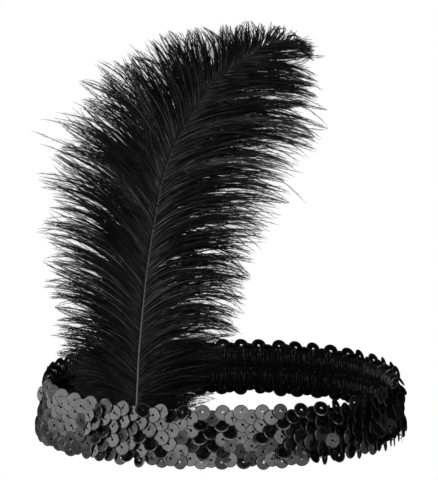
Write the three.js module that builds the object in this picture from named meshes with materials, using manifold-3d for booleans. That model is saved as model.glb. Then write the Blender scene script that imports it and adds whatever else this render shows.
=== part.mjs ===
// A flapper headband standing on its lower edge: a sequinned stretch loop, with one curled
// ostrich plume held inside its left front. Millimetres, +Z up, the forehead side towards -Y,
// and the origin in the middle of the loop on the surface that it stands on.
import * as THREE from 'three';
import { mergeVertices } from 'three/addons/utils/BufferGeometryUtils.js';
import Module from 'manifold-3d';

const wasm = await Module();
wasm.setup();

// The loop, measured on the elastic's outer face at mid height
const loopWidth = 142;
const loopDepth = 111;
const loopSquareness = 2.2; // the power of its superellipse, where 2 is an ellipse
const wallLean = 9.3; // degrees that the wall tips inward towards its top
const facetsPerSequin = 1; // flat facets round the loop for each sequin of a row
const cornerSnap = 1e-6; // how near to a corner a place counts as on it, in facets

// The elastic under the sequins
const elasticHeight = 18.4;
const elasticThickness = 1.3;
const ribHeight = 7.2; // each of the two knitted ribs on the inner face
const ribRelief = 0.4;
const ribGap = 1.8; // the groove between the ribs
const ribBevel = 0.2;
const seamOverlap = 9.5; // the length of the end that laps over the start
const seamFromBack = 11.5; // the middle of the lap, measured from the back towards the left
const seamDrop = 0.8; // the lapped end was sewn on slightly low
const seamBite = 0.3; // how deep the lap is sewn into the wall
const seamColumns = 4;

// The sequins
const sequinDiameter = 6;
const sequinSides = 10;
const sequinPitch = 8.4; // from one to the next along a row
const rowSpacing = 2.77;
const rowCount = 8;
const layerThickness = 0.8; // thin sequins lapping over each other, taken as one layer
const layerInset = 3.4; // from the band's edges to where the closed layer starts
const edgeRelief = 0.2; // how far the edge rows stand proud of the layer

// The quill, hidden behind the band, and the shaft that it turns into
const featherStation = 35.1; // along the loop from the middle of the front towards the left
const quillFootHeight = 5.6;
const quillRadius = 1.1;
const shaftTipRadius = 0.3;
const shaftSides = 8;
const shaftSteps = 20;
const plumeRise = 139.7; // the crest of the shaft above the band's top edge
const plumeReach = 65; // how far the shaft curls over to the right
const plumeSetback = 9.4; // how far it stands back

// The barbs, which lie together in a vane near the shaft and part into locks further out
const barbLength = 59;
const vaneThickness = 1.8;
const vaneEdgeThickness = 1;
const vaneReach = 0.62; // the share of a barb's length that lies in the closed vane
const vaneRows = 16;
const vaneColumns = 3; // on each side of the shaft
const vaneTipSize = 0.4; // the vane's thickness at the tip as a share of that at the foot
const locksPerSide = 21;
const lockStart = 0.46; // the share of a barb's length at which a lock leaves the vane
const lockWidth = 9.2;
const lockThickness = 2.8;
const lockSlimness = 3; // a short lock keeps at least this length to its width
const lockFan = 6; // how far neighbouring locks part in depth at their tips
const lockSteps = 3;
const lockSides = 4;

// The felt patch over the quill
const padWidth = 17;
const padHeight = 13.5;
const padThickness = 1.2;
const padFootMargin = 1.2; // how far it reaches below the quill's foot
const padSwellReach = 6.4; // how far to each side of the quill the felt is lifted off the ribs
const padColumns = 6; // on each side of the quill

// Parts that touch on the real thing lie this far apart
const clearance = 0.3;

// The line of the shaft above the band, as shares of plumeReach, plumeSetback and plumeRise
const shaftTable = [
  { side: 0.006, back: 0.11, up: 0.055 },
  { side: 0.017, back: 0.28, up: 0.147 },
  { side: 0.054, back: 0.53, up: 0.322 },
  { side: 0.084, back: 0.66, up: 0.427 },
  { side: 0.124, back: 0.79, up: 0.532 },
  { side: 0.158, back: 0.87, up: 0.612 },
  { side: 0.239, back: 0.96, up: 0.717 },
  { side: 0.341, back: 1.0, up: 0.801 },
  { side: 0.429, back: 1.0, up: 0.865 },
  { side: 0.517, back: 0.98, up: 0.902 },
  { side: 0.631, back: 0.91, up: 0.946 },
  { side: 0.762, back: 0.81, up: 0.988 },
  { side: 0.878, back: 0.68, up: 1.0 },
  { side: 1.0, back: 0.47, up: 0.969 },
];

// The barbs of each side along the shaft above the band. Their lengths are shares of
// barbLength. Leave is the angle in degrees from the shaft at which a barb leaves it, and tip
// the angle that it has turned to at its end.
const leftBarbs = [
  { at: 0.0, length: 0.51, leave: 45, tip: 84 },
  { at: 0.11, length: 0.68, leave: 40, tip: 104 },
  { at: 0.26, length: 0.76, leave: 36, tip: 92 },
  { at: 0.43, length: 0.88, leave: 35, tip: 88 },
  { at: 0.52, length: 0.88, leave: 34, tip: 75 },
  { at: 0.59, length: 0.84, leave: 36, tip: 65 },
  { at: 0.67, length: 0.62, leave: 34, tip: 50 },
  { at: 0.78, length: 0.43, leave: 34, tip: 48 },
  { at: 0.9, length: 0.19, leave: 32, tip: 46 },
  { at: 1.0, length: 0.09, leave: 25, tip: 35 },
];
const rightBarbs = [
  { at: 0.0, length: 0.5, leave: 52, tip: 78 },
  { at: 0.11, length: 0.67, leave: 38, tip: 112 },
  { at: 0.26, length: 0.75, leave: 38, tip: 106 },
  { at: 0.43, length: 0.88, leave: 38, tip: 100 },
  { at: 0.52, length: 0.96, leave: 38, tip: 98 },
  { at: 0.59, length: 1.0, leave: 36, tip: 82 },
  { at: 0.67, length: 0.88, leave: 34, tip: 72 },
  { at: 0.78, length: 0.62, leave: 34, tip: 56 },
  { at: 0.9, length: 0.32, leave: 34, tip: 56 },
  { at: 1.0, length: 0.12, leave: 25, tip: 40 },
];

// The width and thickness of a lock along its length, as shares of lockWidth and lockThickness
const lockTable = [
  { at: 0.0, width: 0.45, thickness: 0.25 },
  { at: 0.3, width: 1.0, thickness: 0.9 },
  { at: 0.6, width: 0.85, thickness: 1.0 },
  { at: 1.0, width: 0.1, thickness: 0.2 },
];

const sequinRadius = sequinDiameter / 2;
const bandHeight = sequinDiameter + (rowCount - 1) * rowSpacing;
const elasticFoot = (bandHeight - elasticHeight) / 2;
const innerFace = -(elasticThickness + ribRelief); // the ribs' crests, measured outward
const lean = THREE.MathUtils.degToRad(wallLean);
const up = new THREE.Vector3(0, 0, 1);

// The value of every column of a table at a place between its rows
function readTable(table, at) {
  let row = 0;
  while (row < table.length - 2 && at > table[row + 1].at) row += 1;
  const low = table[row];
  const high = table[row + 1];
  const blend = THREE.MathUtils.clamp((at - low.at) / (high.at - low.at), 0, 1);
  const values = {};
  for (const column of Object.keys(low)) {
    values[column] = THREE.MathUtils.lerp(low[column], high[column], blend);
  }
  return values;
}

// One point of the loop's plan, a superellipse
function planPoint(angle) {
  const power = 2 / loopSquareness;
  const c = Math.cos(angle);
  const s = Math.sin(angle);
  const x = Math.sign(c) * Math.abs(c) ** power;
  const y = Math.sign(s) * Math.abs(s) ** power;
  return new THREE.Vector3((x * loopWidth) / 2, (y * loopDepth) / 2, 0);
}

// The plan walked in short steps, anticlockwise from the middle of the front
function measurePlan() {
  const steps = 2880;
  const angles = [-Math.PI / 2];
  const lengths = [0];
  for (let i = 1; i <= steps; i += 1) {
    angles.push(-Math.PI / 2 + (2 * Math.PI * i) / steps);
    lengths.push(lengths[i - 1] + planPoint(angles[i]).distanceTo(planPoint(angles[i - 1])));
  }
  return { angles, lengths };
}

const plan = measurePlan();
const loopLength = plan.lengths.at(-1);
const sequinsPerRow = 4 * Math.round(loopLength / sequinPitch / 4);
const columns = sequinsPerRow * facetsPerSequin;

// The loop as a polygon of flat facets, with a corner at each column
function planCorners() {
  const corners = [];
  for (let i = 0; i < columns; i += 1) {
    const target = (loopLength * i) / columns;
    const high = Math.max(1, plan.lengths.findIndex((length) => length >= target));
    const low = high - 1;
    const blend = (target - plan.lengths[low]) / (plan.lengths[high] - plan.lengths[low]);
    corners.push(planPoint(THREE.MathUtils.lerp(plan.angles[low], plan.angles[high], blend)));
  }
  return corners;
}

const corners = planCorners();

function facetNormal(index) {
  const from = corners[(index + columns) % columns];
  const to = corners[(index + 1) % columns];
  return new THREE.Vector3(to.y - from.y, from.x - to.x, 0).normalize();
}

// The plan at a share of the way round. At a corner the way out is longer than 1, so that the
// facets on both sides of it stay flat and keep their distances.
function planAt(share) {
  const column = (share - Math.floor(share)) * columns;
  const index = Math.floor(column + cornerSnap) % columns;
  const part = Math.max(0, column - Math.floor(column + cornerSnap));
  const place = corners[index].clone().lerp(corners[(index + 1) % columns], part);
  const normal = facetNormal(index);
  if (part < cornerSnap) {
    const before = facetNormal(index - 1);
    normal.add(before).divideScalar(1 + before.dot(facetNormal(index)));
  }
  return { place, normal };
}

// A point on the leaning wall: a height up its slope, and a distance out from the elastic
function wallPoint(share, height, out) {
  const { place, normal } = planAt(share);
  const sideways = out * Math.cos(lean) - (height - bandHeight / 2) * Math.sin(lean);
  const point = place.clone().addScaledVector(normal, sideways);
  point.z = height * Math.cos(lean) + out * Math.sin(lean);
  return point;
}

// A mesh of points and triangles, turned so that its faces point outward
function closedMesh(points, faces) {
  const positions = points.flatMap((point) => [point.x, point.y, point.z]);
  const inward = signedVolume(points, faces) < 0;
  const geometry = new THREE.BufferGeometry();
  geometry.setAttribute('position', new THREE.Float32BufferAttribute(positions, 3));
  geometry.setIndex(faces.flatMap(([a, b, c]) => (inward ? [a, c, b] : [a, b, c])));
  return geometry;
}

// Six times the volume that the faces enclose, below zero where they point inward
function signedVolume(points, faces) {
  let sum = 0;
  for (const [a, b, c] of faces) {
    sum += points[a].dot(new THREE.Vector3().crossVectors(points[b], points[c]));
  }
  return sum;
}

// A closed solid through rings of points, which are capped at the ends or joined in a loop
function loft(rings, looped) {
  const count = rings[0].length;
  const faces = [];
  const spans = looped ? rings.length : rings.length - 1;
  for (let i = 0; i < spans; i += 1) {
    const here = i * count;
    const next = ((i + 1) % rings.length) * count;
    for (let j = 0; j < count; j += 1) {
      const k = (j + 1) % count;
      faces.push([here + j, next + j, next + k], [here + j, next + k, here + k]);
    }
  }
  if (!looped) {
    const end = (rings.length - 1) * count;
    for (let j = 1; j < count - 1; j += 1) {
      faces.push([0, j, j + 1], [end, end + j + 1, end + j]);
    }
  }
  return closedMesh(rings.flat(), faces);
}

// An oval ring of points round a centre
function ovalRing(centre, across, depth, halfWidth, halfDepth, sides) {
  const ring = [];
  for (let i = 0; i < sides; i += 1) {
    const angle = (2 * Math.PI * i) / sides;
    ring.push(
      centre
        .clone()
        .addScaledVector(across, halfWidth * Math.cos(angle))
        .addScaledVector(depth, halfDepth * Math.sin(angle)),
    );
  }
  return ring;
}

// A closed plate between two grids of points with as many rows and columns each
function plate(front, back) {
  const rows = front.length;
  const count = front[0].length;
  const behind = rows * count;
  const faces = [];
  const quad = (a, b, c, d) => faces.push([a, b, c], [a, c, d]);
  for (let i = 0; i < rows - 1; i += 1) {
    const first = i * count;
    const last = first + count - 1;
    for (let a = first; a < last; a += 1) {
      quad(a, a + 1, a + 1 + count, a + count);
      quad(behind + a, behind + a + count, behind + a + 1 + count, behind + a + 1);
    }
    quad(first, first + count, behind + first + count, behind + first);
    quad(last, behind + last, behind + last + count, last + count);
  }
  for (let a = 0; a < count - 1; a += 1) {
    const top = (rows - 1) * count + a;
    quad(a, behind + a, behind + a + 1, a + 1);
    quad(top, top + 1, behind + top + 1, behind + top);
  }
  return closedMesh([...front.flat(), ...back.flat()], faces);
}

function toSolid(geometry) {
  const bare = new THREE.BufferGeometry();
  bare.setAttribute('position', geometry.getAttribute('position').clone());
  bare.setIndex(geometry.getIndex());
  const merged = mergeVertices(bare);
  const vertProperties = new Float32Array(merged.getAttribute('position').array);
  const triVerts = new Uint32Array(merged.getIndex().array);
  return new wasm.Manifold(new wasm.Mesh({ numProp: 3, vertProperties, triVerts }));
}

function fromSolid(solid) {
  const mesh = solid.getMesh();
  const geometry = new THREE.BufferGeometry();
  geometry.setAttribute('position', new THREE.Float32BufferAttribute(mesh.vertProperties, 3));
  geometry.setIndex(Array.from(mesh.triVerts));
  return geometry;
}

// A profile of height and out pairs carried round the whole loop
function loopSolid(profile) {
  const rings = [];
  for (let i = 0; i < columns; i += 1) {
    rings.push(profile.map(([height, out]) => wallPoint(i / columns, height, out)));
  }
  return loft(rings, true);
}

// The same profile over one stretch of the loop
function stretchSolid(profile, fromShare, toShare, steps) {
  const rings = [];
  for (let i = 0; i <= steps; i += 1) {
    const share = THREE.MathUtils.lerp(fromShare, toShare, i / steps);
    rings.push(profile.map(([height, out]) => wallPoint(share, height, out)));
  }
  return loft(rings, false);
}

// The elastic: flat outside, two ribs inside, and its end lapped over its start
function elasticBand() {
  const head = elasticFoot + elasticHeight;
  const middle = bandHeight / 2;
  const upperRib = middle + ribGap / 2;
  const lowerRib = middle - ribGap / 2 - ribHeight;
  const profile = [
    [elasticFoot, 0],
    [elasticFoot, -elasticThickness],
  ];
  for (const foot of [lowerRib, upperRib]) {
    profile.push([foot - ribBevel, -elasticThickness]);
    profile.push([foot, innerFace]);
    profile.push([foot + ribHeight, innerFace]);
    profile.push([foot + ribHeight + ribBevel, -elasticThickness]);
  }
  profile.push([head, -elasticThickness], [head, 0]);
  const lapFace = innerFace - elasticThickness;
  const lap = [
    [elasticFoot - seamDrop, seamBite - elasticThickness],
    [elasticFoot - seamDrop, lapFace],
    [head - seamDrop, lapFace],
    [head - seamDrop, seamBite - elasticThickness],
  ];
  const lapMiddle = 0.5 + seamFromBack / loopLength;
  const lapHalf = seamOverlap / 2 / loopLength;
  const lapSolid = stretchSolid(lap, lapMiddle - lapHalf, lapMiddle + lapHalf, seamColumns);
  return fromSolid(toSolid(loopSolid(profile)).add(toSolid(lapSolid)));
}

// One sequin of an edge row, a disc whose lowest and highest facets are level
function edgeSequin(centre, outward, upward) {
  const radius = sequinRadius / Math.cos(Math.PI / sequinSides);
  const across = new THREE.Vector3().crossVectors(outward, upward);
  const rings = [-0.5, 0.5].map((part) => {
    const middle = centre.clone().addScaledVector(outward, part * layerThickness);
    return ovalRing(middle, across, upward, radius, radius, sequinSides);
  });
  return loft(rings, false);
}

// The closed layer of sequins, with the rows that scallop its two edges. The lowest row hangs
// plumb and stands on its facets; the highest leans with the wall.
function sequinField() {
  const layerBack = clearance;
  const layerFace = layerBack + layerThickness;
  const discOut = layerBack + edgeRelief + layerThickness / 2;
  let field = toSolid(
    loopSolid([
      [layerInset, layerFace],
      [layerInset, layerBack],
      [bandHeight - layerInset, layerBack],
      [bandHeight - layerInset, layerFace],
    ]),
  );
  for (let i = 0; i < sequinsPerRow; i += 1) {
    const share = i / sequinsPerRow;
    const normal = planAt(share).normal.normalize();
    const low = wallPoint(share, sequinRadius, discOut);
    low.z = sequinRadius;
    field = field.add(toSolid(edgeSequin(low, normal, up)));
    const highShare = share + ((rowCount - 1) % 2) / 2 / sequinsPerRow;
    const highNormal = planAt(highShare).normal.normalize();
    const high = wallPoint(highShare, bandHeight - sequinRadius, discOut);
    const outward = highNormal.clone().multiplyScalar(Math.cos(lean)).addScaledVector(up, Math.sin(lean));
    const slope = highNormal.clone().multiplyScalar(-Math.sin(lean)).addScaledVector(up, Math.cos(lean));
    field = field.add(toSolid(edgeSequin(high, outward, slope)));
  }
  return fromSolid(field);
}

const featherShare = -featherStation / loopLength;
const quillOut = innerFace - clearance - quillRadius;
const quillExit = wallPoint(featherShare, bandHeight, quillOut);

// The line of the quill and shaft, from the foot behind the band to the curled tip, measured
// from where it comes out above the band
function featherLine() {
  const foot = wallPoint(featherShare, quillFootHeight, quillOut).sub(quillExit);
  const points = [foot, foot.clone().multiplyScalar(0.5), new THREE.Vector3()];
  for (const row of shaftTable) {
    points.push(new THREE.Vector3(row.side * plumeReach, row.back * plumeSetback, row.up * plumeRise));
  }
  const curve = new THREE.CatmullRomCurve3(points);
  curve.arcLengthDivisions = 800;
  return curve;
}

const shaftLine = featherLine();
const hiddenShare = (bandHeight - quillFootHeight) / shaftLine.getLength();

function shaftRadius(share) {
  return THREE.MathUtils.lerp(quillRadius, shaftTipRadius, share);
}

// Directions at a share of the whole line: along it, back from it, and to its left
function shaftFrame(share) {
  const along = shaftLine.getTangentAt(share);
  const back = new THREE.Vector3(0, 1, 0);
  back.addScaledVector(along, -back.dot(along)).normalize();
  const left = new THREE.Vector3().crossVectors(along, back);
  return { place: shaftLine.getPointAt(share), along, back, left };
}

function featherShaft() {
  const rings = [];
  for (let i = 0; i <= shaftSteps; i += 1) {
    const share = i / shaftSteps;
    const { place, left, back } = shaftFrame(share);
    const radius = shaftRadius(share);
    rings.push(ovalRing(place, left, back, radius, radius, shaftSides));
  }
  return loft(rings, false);
}

// The middle of the vane behind the shaft, at a share of the shaft above the band
function vaneFrame(at) {
  const share = THREE.MathUtils.lerp(hiddenShare, 1, at);
  const frame = shaftFrame(share);
  const size = THREE.MathUtils.lerp(1, vaneTipSize, at);
  frame.place.addScaledVector(frame.back, shaftRadius(share) + clearance + (vaneThickness * size) / 2);
  return { ...frame, size };
}

// A point part way along a barb of one side, 1 for the left and -1 for the right. A barb is
// an arc that leaves the shaft at one angle and has turned to another at its tip.
function barbPoint(at, side, share) {
  const { place, along, back, left, size } = vaneFrame(at);
  const row = readTable(side > 0 ? leftBarbs : rightBarbs, at);
  const length = barbLength * row.length;
  const leave = THREE.MathUtils.degToRad(row.leave);
  const tip = THREE.MathUtils.degToRad(row.tip);
  const angle = THREE.MathUtils.lerp(leave, tip, share);
  const radius = length / (tip - leave);
  const outward = left.clone().multiplyScalar(side);
  const centre = place
    .clone()
    .addScaledVector(along, radius * (Math.sin(angle) - Math.sin(leave)))
    .addScaledVector(outward, radius * (Math.cos(leave) - Math.cos(angle)));
  const across = along.clone().multiplyScalar(-Math.sin(angle)).addScaledVector(outward, Math.cos(angle));
  return { centre, across, back, length, size };
}

// The closed part of the barbs, thin at its two edges
function featherVane() {
  const front = [];
  const rear = [];
  for (let i = 0; i <= vaneRows; i += 1) {
    const frontRow = [];
    const rearRow = [];
    for (let j = -vaneColumns; j <= vaneColumns; j += 1) {
      const share = Math.abs(j) / vaneColumns;
      const { centre, back, size } = barbPoint(i / vaneRows, -Math.sign(j), share * vaneReach);
      const half = (size * THREE.MathUtils.lerp(vaneThickness, vaneEdgeThickness, share)) / 2;
      frontRow.push(centre.clone().addScaledVector(back, -half));
      rearRow.push(centre.clone().addScaledVector(back, half));
    }
    front.push(frontRow);
    rear.push(rearRow);
  }
  return plate(front, rear);
}

// One lock of barbs, which leaves the vane, swells and tapers to a point
function barbLock(at, side, fan) {
  const rings = [];
  for (let i = 0; i <= lockSteps; i += 1) {
    const part = i / lockSteps;
    const share = THREE.MathUtils.lerp(lockStart, 1, part);
    const { centre, across, back, length } = barbPoint(at, side, share);
    const slim = Math.min(1, length / lockWidth / lockSlimness);
    const { width, thickness } = readTable(lockTable, part);
    centre.addScaledVector(back, fan * slim * part * part);
    const halfWidth = (slim * lockWidth * width) / 2;
    const halfDepth = (slim * lockThickness * thickness) / 2;
    rings.push(ovalRing(centre, across, back, halfWidth, halfDepth, lockSides));
  }
  return loft(rings, false);
}

function featherPlume() {
  let plume = toSolid(featherVane());
  for (let i = 0; i < locksPerSide; i += 1) {
    const at = (i + 0.5) / locksPerSide;
    const fan = i % 2 ? lockFan : -lockFan;
    plume = plume.add(toSolid(barbLock(at, 1, fan))).add(toSolid(barbLock(at, -1, -fan)));
  }
  return fromSolid(plume);
}

// The felt patch, which lies on the ribs at its sides and swells over the quill
function quillPad() {
  const foot = quillFootHeight - padFootMargin;
  const head = foot + padHeight;
  const flat = innerFace - clearance;
  const swell = 2 * quillRadius + clearance;
  const rings = [];
  for (let i = -padColumns; i <= padColumns; i += 1) {
    const along = (i / padColumns) * (padWidth / 2);
    const share = featherShare + along / loopLength;
    const phase = Math.min(1, Math.abs(along) / padSwellReach);
    const outer = flat - (swell * (1 + Math.cos(Math.PI * phase))) / 2;
    const inner = outer - padThickness;
    rings.push([
      wallPoint(share, foot, outer),
      wallPoint(share, foot, inner),
      wallPoint(share, head, inner),
      wallPoint(share, head, outer),
    ]);
  }
  return loft(rings, false);
}

function namedMesh(name, geometry, color, roughness, metalness) {
  const material = new THREE.MeshStandardMaterial({ color, roughness, metalness, flatShading: true });
  const mesh = new THREE.Mesh(geometry, material);
  mesh.name = name;
  return mesh;
}

const band = new THREE.Group();
band.add(namedMesh('elastic_band', elasticBand(), 0x0d0d0e, 0.9, 0));
band.add(namedMesh('sequin_field', sequinField(), 0x2a2a2c, 0.25, 0.3));
band.add(namedMesh('quill_pad', quillPad(), 0x101010, 0.95, 0));

const feather = new THREE.Group();
feather.position.copy(quillExit);
feather.add(namedMesh('feather_shaft', featherShaft(), 0x3a3a3a, 0.5, 0));
feather.add(namedMesh('feather_plume', featherPlume(), 0x0b0b0c, 0.85, 0));

const headband = new THREE.Group();
headband.add(band, feather);

export default headband;
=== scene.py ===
import math

import bpy
import numpy as np
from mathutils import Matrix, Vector


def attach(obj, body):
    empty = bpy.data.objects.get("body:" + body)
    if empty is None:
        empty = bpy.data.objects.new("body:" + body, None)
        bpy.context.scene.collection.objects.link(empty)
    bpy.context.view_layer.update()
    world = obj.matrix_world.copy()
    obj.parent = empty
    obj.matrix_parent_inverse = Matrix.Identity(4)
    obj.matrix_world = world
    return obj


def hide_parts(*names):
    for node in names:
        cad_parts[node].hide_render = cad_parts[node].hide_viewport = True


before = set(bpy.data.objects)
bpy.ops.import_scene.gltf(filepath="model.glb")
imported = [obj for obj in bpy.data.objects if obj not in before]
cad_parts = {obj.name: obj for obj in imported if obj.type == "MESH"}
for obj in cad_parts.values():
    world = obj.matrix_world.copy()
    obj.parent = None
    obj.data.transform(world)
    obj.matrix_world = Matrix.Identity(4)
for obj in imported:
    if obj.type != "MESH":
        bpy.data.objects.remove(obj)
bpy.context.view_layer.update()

# A flapper headband in front of a white backdrop. Shapes are worked out in millimetres, in
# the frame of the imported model: +Z up, the forehead side towards -Y.

print("frame loaded:", sorted(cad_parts))

# ---- camera, light and floor

camera = {
    "place": (0.0, -1.4489, 0.3882),  # metres
    "lookDown": 12.07,  # degrees below the horizon
    "turnLeft": 0.038,
    "lens": 281.25,  # a long lens, 1.5 m away
    "sensor": 36.0,
}

studio = {
    "backdrop": 1.0,  # what the camera sees behind and below
    "panelTowards": (-0.64, -0.76, 0.10),  # the middle of the bright side of the room
    "panelLight": 1.45,
    "panelEdge": (-0.07, 0.21),  # cosines of the angles where it fades in and is full
    "ceilingEdge": (0.22, 0.44),  # rise of a direction at which the room gets dark
    "roomLight": 0.011,
    "backLight": 0.035,  # the lit backdrop, as the gloss of the object mirrors it
    "backEdge": (0.72, 0.92),
    "floorEdge": (0.05, 0.30),  # metres behind the middle, where the floor turns as bright
    "keyPlace": (-0.55, -0.75, 0.75),
    "keySize": 0.7,
    "keyAim": 0.08,  # the height of the place that it points at
    "keyWatts": 16.0,
    "floorShade": 0.26,
    "farShade": 0.03,  # and behind the band, where the sequins at its right end mirror it
    "farEdge": (-0.03, 0.03),
    "floorSize": 6.0,
    "floorDrop": 0.0002,
}


def addCamera(look):
    data = bpy.data.cameras.new("photoCamera")
    data.lens = look["lens"]
    data.sensor_width = look["sensor"]
    made = bpy.data.objects.new("photoCamera", data)
    made.location = look["place"]
    tilt = math.radians(90 - look["lookDown"])
    made.rotation_euler = (tilt, 0.0, math.radians(look["turnLeft"]))
    bpy.context.scene.collection.objects.link(made)
    bpy.context.scene.camera = made


def addNode(tree, kind, inputs=None, **facts):
    # a shader node with its own facts set, and its inputs given as values or as links
    made = tree.nodes.new(kind)
    for name, value in facts.items():
        setattr(made, name, value)
    for name, value in (inputs or {}).items():
        if isinstance(value, bpy.types.NodeSocket):
            tree.links.new(value, made.inputs[name])
        else:
            made.inputs[name].default_value = value
    return made


def maths(tree, operation, first, second=0.0, third=0.0):
    inputs = {0: first, 1: second, 2: third}
    return addNode(tree, "ShaderNodeMath", inputs, operation=operation).outputs[0]


def fade(tree, value, edges, ends=(0.0, 1.0)):
    # goes smoothly from the first end to the second while value goes over the edges
    inputs = {"Value": value, "From Min": edges[0], "From Max": edges[1]}
    inputs.update({"To Min": ends[0], "To Max": ends[1]})
    made = addNode(tree, "ShaderNodeMapRange", inputs, interpolation_type="SMOOTHSTEP")
    return made.outputs["Result"]


def addRoom(look):
    # white to the camera; to the object, a bright panel that fades round its middle direction
    world = bpy.data.worlds.new("room")
    bpy.context.scene.world = world
    world.use_nodes = True
    tree = world.node_tree
    tree.nodes.clear()
    towards = addNode(tree, "ShaderNodeTexCoord").outputs["Generated"]
    length = math.dist((0, 0, 0), look["panelTowards"])
    middle = tuple(part / length for part in look["panelTowards"])
    nearness = addNode(tree, "ShaderNodeVectorMath", {0: towards, 1: middle},
                       operation="DOT_PRODUCT").outputs["Value"]
    rise = addNode(tree, "ShaderNodeSeparateXYZ", {0: towards}).outputs["Z"]
    panel = fade(tree, nearness, look["panelEdge"])
    low = fade(tree, rise, look["ceilingEdge"], (1.0, 0.0))
    light = maths(tree, "MULTIPLY", maths(tree, "MULTIPLY", panel, low), look["panelLight"])
    light = maths(tree, "ADD", light, look["roomLight"])
    glossy = addNode(tree, "ShaderNodeLightPath").outputs["Is Glossy Ray"]
    depth = addNode(tree, "ShaderNodeSeparateXYZ", {0: towards}).outputs["Y"]
    behind = maths(tree, "MULTIPLY", fade(tree, depth, look["backEdge"]), low)
    light = maths(tree, "MULTIPLY_ADD", maths(tree, "MULTIPLY", behind, glossy),
                  look["backLight"], light)
    around = addNode(tree, "ShaderNodeBackground", {"Strength": light})
    around.inputs["Color"].default_value = (1, 1, 1, 1)
    white = addNode(tree, "ShaderNodeBackground", {"Strength": look["backdrop"]})
    white.inputs["Color"].default_value = (1, 1, 1, 1)
    seen = addNode(tree, "ShaderNodeLightPath").outputs["Is Camera Ray"]
    mixed = addNode(tree, "ShaderNodeMixShader",
                    {0: seen, 1: around.outputs[0], 2: white.outputs[0]})
    addNode(tree, "ShaderNodeOutputWorld", {"Surface": mixed.outputs[0]})


def addKeyLight(look):
    data = bpy.data.lights.new("keyLight", "AREA")
    data.energy = look["keyWatts"]
    data.size = look["keySize"]
    made = bpy.data.objects.new("keyLight", data)
    place = np.array(look["keyPlace"])
    made.location = place
    away = Vector(place - (0, 0, look["keyAim"]))
    made.rotation_mode = "QUATERNION"
    made.rotation_quaternion = away.to_track_quat("Z", "Y")
    made.visible_glossy = False  # the sequins mirror the room and not the lamp
    bpy.context.scene.collection.objects.link(made)


def addFloor(look):
    half = look["floorSize"] / 2
    drop = -look["floorDrop"]
    corners = [(-half, -half, drop), (half, -half, drop), (half, half, drop), (-half, half, drop)]
    mesh = bpy.data.meshes.new("floor")
    mesh.from_pydata(corners, [], [(0, 1, 2, 3)])
    floor = bpy.data.objects.new("floor", mesh)
    bpy.context.scene.collection.objects.link(floor)
    material = bpy.data.materials.new("paleFloor")
    material.use_nodes = True
    tree = material.node_tree
    tree.nodes.clear()
    place = addNode(tree, "ShaderNodeTexCoord").outputs["Object"]
    depth = addNode(tree, "ShaderNodeSeparateXYZ", {0: place}).outputs["Y"]
    shade = fade(tree, depth, look["farEdge"], (look["floorShade"], look["farShade"]))
    matt = addNode(tree, "ShaderNodeBsdfDiffuse", {"Color": shade})
    white = addNode(tree, "ShaderNodeEmission", {"Strength": look["backdrop"]})
    seen = addNode(tree, "ShaderNodeLightPath").outputs["Is Camera Ray"]
    mixed = addNode(tree, "ShaderNodeMixShader",
                    {0: seen, 1: matt.outputs[0], 2: white.outputs[0]})
    glossy = addNode(tree, "ShaderNodeLightPath").outputs["Is Glossy Ray"]
    far = maths(tree, "MULTIPLY", fade(tree, depth, look["floorEdge"]), look["backLight"])
    mirrored = addNode(tree, "ShaderNodeEmission",
                       {"Strength": maths(tree, "MULTIPLY", far, glossy)})
    total = addNode(tree, "ShaderNodeAddShader", {0: mixed.outputs[0], 1: mirrored.outputs[0]})
    addNode(tree, "ShaderNodeOutputMaterial", {"Surface": total.outputs[0]})
    mesh.materials.append(material)


addCamera(camera)
addRoom(studio)
addKeyLight(studio)
addFloor(studio)
bpy.context.scene.view_settings.view_transform = "Standard"
print("camera, light and floor ready")

# ---- the wall of the band, which every piece of it follows

band = {
    "width": 142.0,  # of the loop, on the elastic's outer face at mid height
    "depth": 111.0,
    "squareness": 2.2,
    "lean": 9.3,  # degrees that the wall tips inward towards its top
    "height": 25.39,
    "featherStation": 35.1,  # along the loop from the middle of the front, to the left
    "groundGap": 0.02,  # the least height of anything over the floor
}

lean = math.radians(band["lean"])


def planPoints(angle):
    # a superellipse: the half widths times the cosine and sine, raised to 2 / squareness
    power = 2 / band["squareness"]
    c, s = np.cos(angle), np.sin(angle)
    x = np.sign(c) * np.abs(c) ** power * band["width"] / 2
    y = np.sign(s) * np.abs(s) ** power * band["depth"] / 2
    return np.stack([x, y], -1)


planAngles = -math.pi / 2 + np.linspace(0, 2 * math.pi, 5761)
planSteps = np.linalg.norm(np.diff(planPoints(planAngles), axis=0), axis=-1)
planLengths = np.concatenate([[0.0], np.cumsum(planSteps)])
loopLength = planLengths[-1]
featherShare = 1 - band["featherStation"] / loopLength


def planAt(share):
    # place, way out and way round at a share of the loop, from the front and anticlockwise
    angle = np.interp(np.mod(share, 1) * loopLength, planLengths, planAngles)
    place = planPoints(angle)
    half = np.array([band["width"], band["depth"]]) / 2
    power = band["squareness"] - 1
    out = np.sign(place) * np.abs(place / half) ** power / half
    out /= np.linalg.norm(out, axis=-1, keepdims=True)
    return place, out, np.stack([-out[..., 1], out[..., 0]], -1)


def onWall(share, height, out):
    # a height up the leaning wall and a distance out of the elastic's outer face
    share, height, out = np.broadcast_arrays(share, height, out)
    place, normal, _ = planAt(share)
    sideways = out * math.cos(lean) - (height - band["height"] / 2) * math.sin(lean)
    flat = place + normal * sideways[..., None]
    z = height * math.cos(lean) + out * math.sin(lean)
    return np.concatenate([flat, z[..., None]], -1)


def wallAxes(share):
    # the way round, the way up the wall and the way out of it
    _, normal, tangent = planAt(share)
    level = np.zeros(normal.shape[:-1] + (1,))
    around = np.concatenate([tangent, level], -1)
    upward = np.concatenate([-normal * math.sin(lean), level + math.cos(lean)], -1)
    outward = np.concatenate([normal * math.cos(lean), level + math.sin(lean)], -1)
    return around, upward, outward


# ---- meshes from whole arrays


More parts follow.
